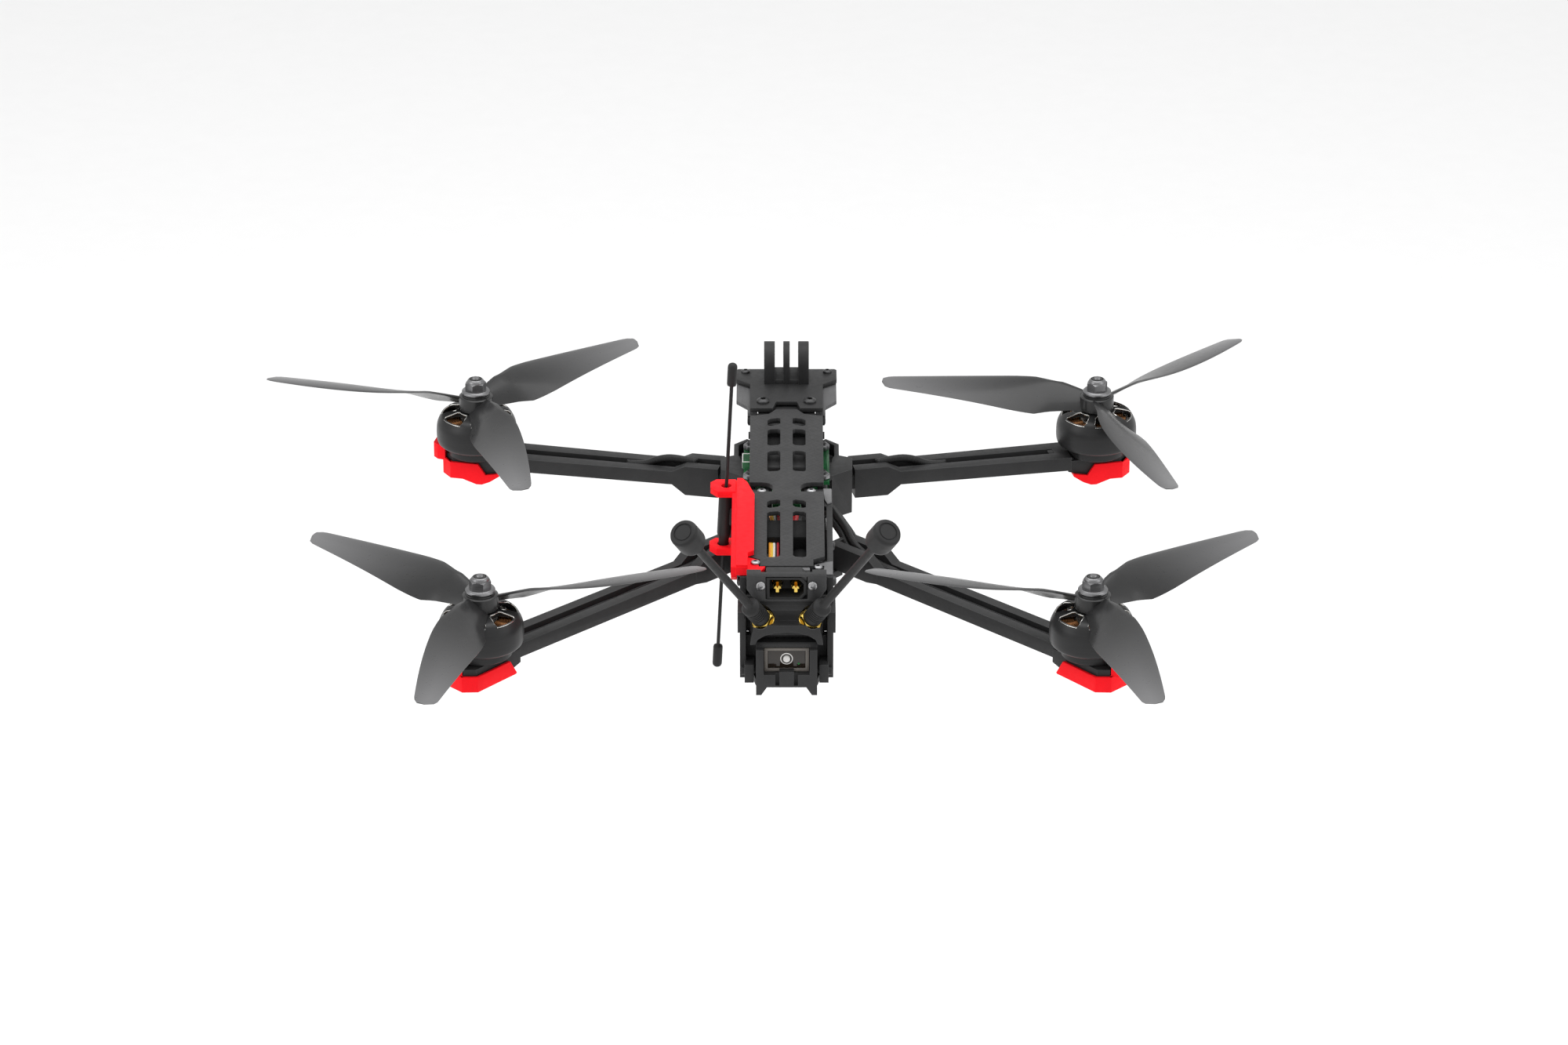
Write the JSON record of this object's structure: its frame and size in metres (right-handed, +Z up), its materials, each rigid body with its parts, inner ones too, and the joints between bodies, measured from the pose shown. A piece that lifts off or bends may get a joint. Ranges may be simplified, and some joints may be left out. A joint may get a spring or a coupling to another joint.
{
  "type": "quadcopter drone",
  "caption": "Long-range camera quadcopter with wide black arms, three-blade rotors on outrunner motors, red rubber feet, action-camera prongs and twin mushroom video antennas.",
  "frame": {"origin": "middle of the motor layout, on the underside of the belly plate", "axes": "+X to the right, +Y towards the nose, +Z up"},
  "size_m": [0.4302, 0.3654, 0.1383],
  "materials": {
    "moulding": "fine-textured black nylon moulding, satin",
    "carbon": "carbon-fibre plate, matt sanded face with a faint twill",
    "propeller": "glossy smoked black polycarbonate",
    "bell": "satin black anodised aluminium",
    "stator": "enamelled copper windings on laminated steel",
    "steel": "bright machined steel",
    "brass": "gold-plated brass",
    "red_rubber": "soft printed red rubber, matt",
    "board": "green circuit board with solder mask",
    "dark_glass": "dark glossy window",
    "antenna": "black moulded cover, semi-matt"
  },
  "bodies": {
    "root": {"antenna_holder": "red_rubber", "antenna_socket_left": "brass", "antenna_socket_right": "brass", "arm_front_left": "moulding", "arm_front_right": "moulding", "arm_rear_left": "moulding", "arm_rear_right": "moulding", "belly_plate": "carbon", "capacitor": "antenna", "fairing_left": "moulding", "fairing_right": "moulding", "flight_controller": "board", "foot_front_left": "red_rubber", "foot_front_right": "red_rubber", "foot_rear_left": "red_rubber", "foot_rear_right": "red_rubber", "mid_plate": "carbon", "nose_brace": "moulding", "nose_deck": "moulding", "nose_plate_left": "moulding", "nose_plate_right": "moulding", "post_mid_left": "steel", "post_mid_right": "steel", "post_rear_left": "steel", "post_rear_right": "steel", "power_pin_left": "brass", "power_pin_right": "brass", "power_socket": "antenna", "radio_receiver": "board", "receiver_antenna": "antenna", "satellite_receiver": "moulding", "side_panel_left": "moulding", "side_panel_right": "moulding", "speed_controller": "board", "stator_front_left": "stator", "stator_front_right": "stator", "stator_rear_left": "stator", "stator_rear_right": "stator", "tail_guard": "moulding", "tail_housing": "moulding", "top_plate": "carbon", "video_antenna_left": "antenna", "video_antenna_right": "antenna", "video_transmitter": "dark_glass", "wing_plate": "carbon"},
    "rotor_front_left": {"bell_front_left": "bell", "propeller_front_left": "propeller", "prop_nut_front_left": "steel"},
    "rotor_front_right": {"bell_front_right": "bell", "propeller_front_right": "propeller", "prop_nut_front_right": "steel"},
    "rotor_rear_left": {"bell_rear_left": "bell", "propeller_rear_left": "propeller", "prop_nut_rear_left": "steel"},
    "rotor_rear_right": {"bell_rear_right": "bell", "propeller_rear_right": "propeller", "prop_nut_rear_right": "steel"},
    "camera": {"camera_body": "moulding", "camera_lens": "dark_glass"},
    "button": {"link_button": "moulding"}
  },
  "joints": [
    {"name": "spin_front_left", "type": "hinge", "parent": "root", "child": "rotor_front_left", "pos_m": [-0.1343, 0.0995, 0.02], "axis": [0, 0, 1], "continuous": true},
    {"name": "spin_front_right", "type": "hinge", "parent": "root", "child": "rotor_front_right", "pos_m": [0.1343, 0.0995, 0.02], "axis": [0, 0, 1], "continuous": true},
    {"name": "spin_rear_left", "type": "hinge", "parent": "root", "child": "rotor_rear_left", "pos_m": [-0.1234, -0.0997, 0.02], "axis": [0, 0, 1], "continuous": true},
    {"name": "spin_rear_right", "type": "hinge", "parent": "root", "child": "rotor_rear_right", "pos_m": [0.1234, -0.0997, 0.02], "axis": [0, 0, 1], "continuous": true},
    {"name": "camera_tilt", "type": "hinge", "parent": "root", "child": "camera", "pos_m": [0, 0.09, 0.029], "axis": [1, 0, 0], "range_deg": [-15, 25]},
    {"name": "link_button_press", "type": "slide", "parent": "root", "child": "button", "axis": [0, 1, 0], "range_m": [0, 0.0006]}
  ]
}
